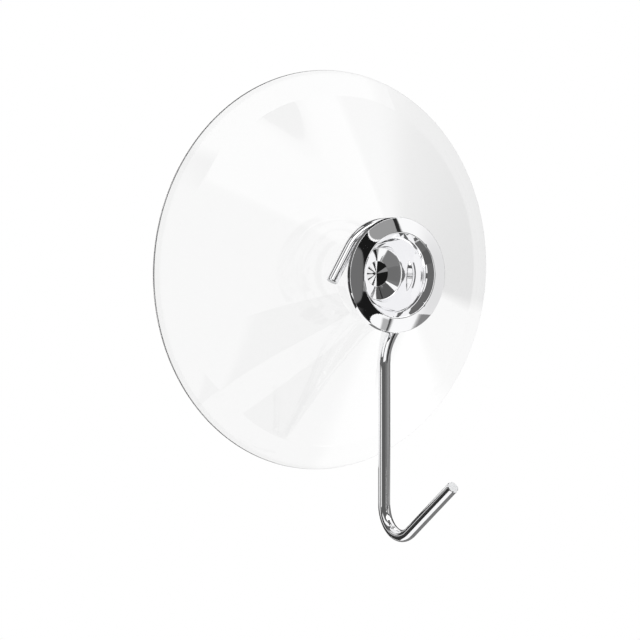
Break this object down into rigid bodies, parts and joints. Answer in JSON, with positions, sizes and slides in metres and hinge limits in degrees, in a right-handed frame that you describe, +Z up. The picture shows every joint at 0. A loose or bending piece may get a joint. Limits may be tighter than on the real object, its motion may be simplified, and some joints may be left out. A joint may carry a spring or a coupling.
{
  "type": "suction cup hook",
  "caption": "Clear soft suction cup with a dished chrome cap that holds a swivelling bent wire hook for hanging light things on a smooth wall.",
  "frame": {"origin": "centre of the cup's rim, in the plane of the wall that it sticks to", "axes": "+Z up as it hangs on a wall, +Y into the wall, -Y along the cup's axis out into the room"},
  "size_m": [0.06, 0.0352, 0.0695],
  "materials": {
    "suction_cup": "clear flexible PVC, smooth from a polished mould",
    "cap": "bright chrome plate on turned metal",
    "wire_hook": "bright chrome plate on drawn steel wire"
  },
  "bodies": {
    "cup": {"suction_cup": "suction_cup", "cap": "cap"},
    "hook": {"wire_hook": "wire_hook"}
  },
  "joints": [
    {"name": "hook_swivel", "type": "hinge", "parent": "cup", "child": "hook", "pos_m": [0, -0.0168, 0], "axis": [0, 1, 0], "continuous": true}
  ]
}
